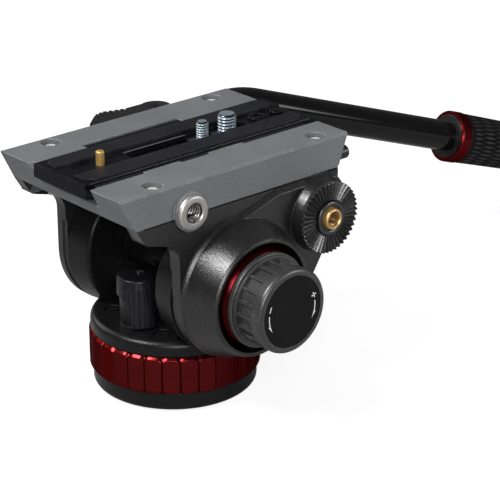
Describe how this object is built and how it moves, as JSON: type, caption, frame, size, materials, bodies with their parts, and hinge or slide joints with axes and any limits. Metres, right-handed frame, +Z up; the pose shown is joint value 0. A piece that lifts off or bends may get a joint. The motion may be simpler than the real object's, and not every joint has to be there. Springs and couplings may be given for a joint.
{
  "type": "fluid video head",
  "caption": "Flat-base fluid video head with pan and tilt, ribbed pan drag ring, tilt drag knob, sliding camera plate, toothed rosettes and a bent pan bar.",
  "frame": {"origin": "centre of the base thread at the underside of the base", "axes": "+Z up along the pan axis; the lens looks along -Y and the pan bar points back along +Y; +X is the drag knob side, and the tilt axis runs along X"},
  "size_m": [0.1844, 0.4608, 0.1347],
  "materials": {
    "casting_black": "satin fine-textured black paint",
    "casting_grey": "satin fine-textured grey paint",
    "anodised_red": "dark red anodised",
    "anodised_black": "black anodised",
    "tube_black": "gloss black",
    "rubber_black": "matt moulded rubber",
    "plastic_black": "matt black plastic",
    "steel": "bright turned steel",
    "zinc": "zinc plated",
    "brass": "turned brass",
    "bronze": "plain bearing bronze",
    "spring_steel": "blued spring steel",
    "glass": "clear vial with green liquid"
  },
  "bodies": {
    "base": {"base_disc": "casting_black", "base_thread_insert": "steel", "base_screws": "steel", "pan_spindle": "steel", "spindle_nut": "steel", "pan_friction_discs": "bronze"},
    "drag_ring": {"pan_drag_ring": "anodised_red"},
    "pan_body": {"pan_housing": "casting_black", "floor_screws": "zinc", "pan_bush": "bronze", "brake_shoe": "bronze", "tilt_bush_right": "bronze", "tilt_bush_left": "bronze", "level_bezel": "anodised_black", "level_vial": "glass", "drag_stator": "steel", "counterbalance_spring": "spring_steel"},
    "pan_lock": {"pan_lock_lever": "rubber_black", "pan_lock_shaft": "steel", "pan_lock_screw": "zinc"},
    "tilt_frame": {"platform": "casting_grey", "cheek_right": "casting_black", "cheek_left": "casting_black", "platform_screws": "zinc", "side_thread_socket": "steel", "rosette_right": "casting_black", "rosette_left": "casting_black", "rosette_insert_right": "brass", "rosette_insert_left": "brass", "guide_rail": "plastic_black", "tilt_axle": "steel", "drag_rotor": "steel", "spring_arbor": "steel", "drag_trim_ring": "anodised_red", "plate_lock_pivot": "steel"},
    "drag_knob": {"drag_knob_core": "anodised_black", "drag_knob_grip": "rubber_black", "drag_knob_label": "plastic_black"},
    "tilt_lock": {"tilt_lock_lever": "plastic_black", "tilt_lock_shaft": "steel", "tilt_lock_screw": "zinc"},
    "plate_lock": {"plate_lock_lever": "plastic_black"},
    "jaw": {"clamp_jaw": "anodised_black"},
    "button": {"release_button": "plastic_black"},
    "sliding_plate": {"camera_plate": "anodised_black", "grip_strips": "rubber_black", "locating_pin": "brass", "stop_ring": "anodised_black", "plate_stop_screws": "anodised_black"},
    "small_carrier": {"small_screw_carrier": "steel"},
    "wide_carrier": {"wide_screw_carrier": "steel"},
    "small_screw": {"camera_screw_small": "zinc"},
    "wide_screw": {"camera_screw_wide": "zinc"},
    "pan_bar": {"bar_clamp": "casting_black", "rosette_bar": "casting_black", "bar_tube": "tube_black", "grip_ring": "anodised_red", "grip_with_cap": "rubber_black"},
    "clamp_knob_set": {"clamp_knob": "plastic_black", "clamp_stud": "steel"}
  },
  "joints": [
    {"name": "pan", "type": "hinge", "parent": "base", "child": "pan_body", "pos_m": [0, 0, 0.034], "axis": [0, 0, 1], "continuous": true},
    {"name": "pan_drag", "type": "hinge", "parent": "base", "child": "drag_ring", "pos_m": [0, 0, 0.02], "axis": [0, 0, 1], "range_deg": [-60, 60]},
    {"name": "pan_lock_turn", "type": "hinge", "parent": "pan_body", "child": "pan_lock", "pos_m": [0, -0.023, 0.055], "axis": [0, 0, 1], "range_deg": [-95, 0]},
    {"name": "tilt", "type": "hinge", "parent": "pan_body", "child": "tilt_frame", "pos_m": [0, 0, 0.0657], "axis": [1, 0, 0], "range_deg": [-70, 90]},
    {"name": "tilt_drag", "type": "hinge", "parent": "tilt_frame", "child": "drag_knob", "pos_m": [0.078, 0, 0.0657], "axis": [1, 0, 0], "range_deg": [-135, 135]},
    {"name": "tilt_lock_turn", "type": "hinge", "parent": "tilt_frame", "child": "tilt_lock", "pos_m": [-0.06, 0, 0.0657], "axis": [1, 0, 0], "range_deg": [-80, 0]},
    {"name": "plate_lock_turn", "type": "hinge", "parent": "tilt_frame", "child": "plate_lock", "pos_m": [-0.0574, 0.0366, 0.1209], "axis": [0, 0, 1], "range_deg": [-70, 0]},
    {"name": "jaw_slide", "type": "slide", "parent": "tilt_frame", "child": "jaw", "axis": [1, 0, 0], "range_m": [-0.0007, 0]},
    {"name": "button_press", "type": "slide", "parent": "tilt_frame", "child": "button", "axis": [0, -1, 0], "range_m": [0, 0.0024], "stiffness_N_per_m": 400, "springref_m": -0.001},
    {"name": "plate_slide", "type": "slide", "parent": "tilt_frame", "child": "sliding_plate", "axis": [0, 1, 0], "range_m": [-0.03, 0.03]},
    {"name": "small_carrier_slide", "type": "slide", "parent": "sliding_plate", "child": "small_carrier", "axis": [0, 1, 0], "range_m": [-0.038, 0.0008]},
    {"name": "wide_carrier_slide", "type": "slide", "parent": "sliding_plate", "child": "wide_carrier", "axis": [0, 1, 0], "range_m": [-0.0008, 0.0055]},
    {"name": "small_screw_turn", "type": "hinge", "parent": "small_carrier", "child": "small_screw", "pos_m": [0, 0.0198, 0.127], "axis": [0, 0, 1], "continuous": true},
    {"name": "wide_screw_turn", "type": "hinge", "parent": "wide_carrier", "child": "wide_screw", "pos_m": [0, 0.036, 0.127], "axis": [0, 0, 1], "continuous": true},
    {"name": "pan_bar_angle", "type": "hinge", "parent": "tilt_frame", "child": "pan_bar", "pos_m": [-0.0709, 0.052, 0.091], "axis": [1, 0, 0], "range_deg": [-60, 45]},
    {"name": "clamp_knob_turn", "type": "hinge", "parent": "tilt_frame", "child": "clamp_knob_set", "pos_m": [-0.089, 0.052, 0.091], "axis": [1, 0, 0], "continuous": true}
  ],
  "couplings": [
    {"joint": "jaw_slide", "follows": "plate_lock_turn", "m_per_rad": 0.00057296}
  ]
}
